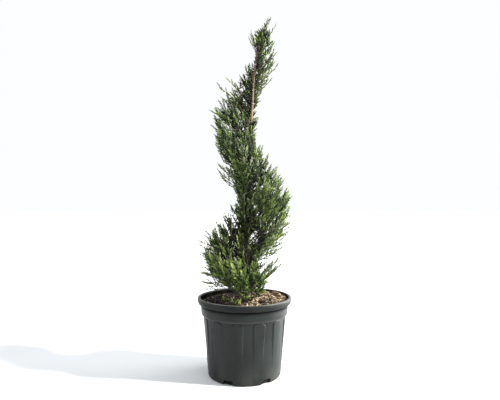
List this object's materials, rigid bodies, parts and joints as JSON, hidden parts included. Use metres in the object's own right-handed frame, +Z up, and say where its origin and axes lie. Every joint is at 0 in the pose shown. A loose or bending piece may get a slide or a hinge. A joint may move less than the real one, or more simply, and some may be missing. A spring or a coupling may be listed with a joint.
{
  "type": "potted spiral juniper",
  "caption": "Juniper clipped to an open spiral round one slender trunk, growing in a round plastic nursery pot filled with bark compost.",
  "frame": {"origin": "centre of the pot's flat underside", "axes": "+Z straight up, -Y towards the plant's front, +X to the right seen from the front"},
  "size_m": [0.2827, 0.28, 1.077],
  "materials": {
    "pot_plastic": "dark grey-green moulded plastic with a soft satin sheen",
    "compost": "dark moist compost under tan bark chips",
    "bark": "thin stringy bark, grey-brown below and tan above",
    "foliage": "mid-green scale leaves with yellow-green tips and a grey-green bloom in the shade"
  },
  "bodies": {
    "root": {"pot": "pot_plastic", "compost": "compost", "trunk": "bark", "bough_low": "bark", "bough_01": "bark", "bough_02": "bark", "bough_03": "bark", "bough_04": "bark", "bough_05": "bark", "bough_06": "bark", "bough_07": "bark", "bough_08": "bark", "bough_09": "bark", "bough_10": "bark", "bough_11": "bark", "foliage_low": "foliage", "foliage_01": "foliage", "foliage_02": "foliage", "foliage_03": "foliage", "foliage_04": "foliage", "foliage_05": "foliage", "foliage_06": "foliage", "foliage_07": "foliage", "foliage_08": "foliage", "foliage_09": "foliage", "foliage_10": "foliage", "foliage_11": "foliage", "foliage_12": "foliage", "foliage_13": "foliage", "foliage_14": "foliage", "foliage_15": "foliage", "foliage_16": "foliage", "foliage_tip": "foliage"}
  },
  "joints": []
}
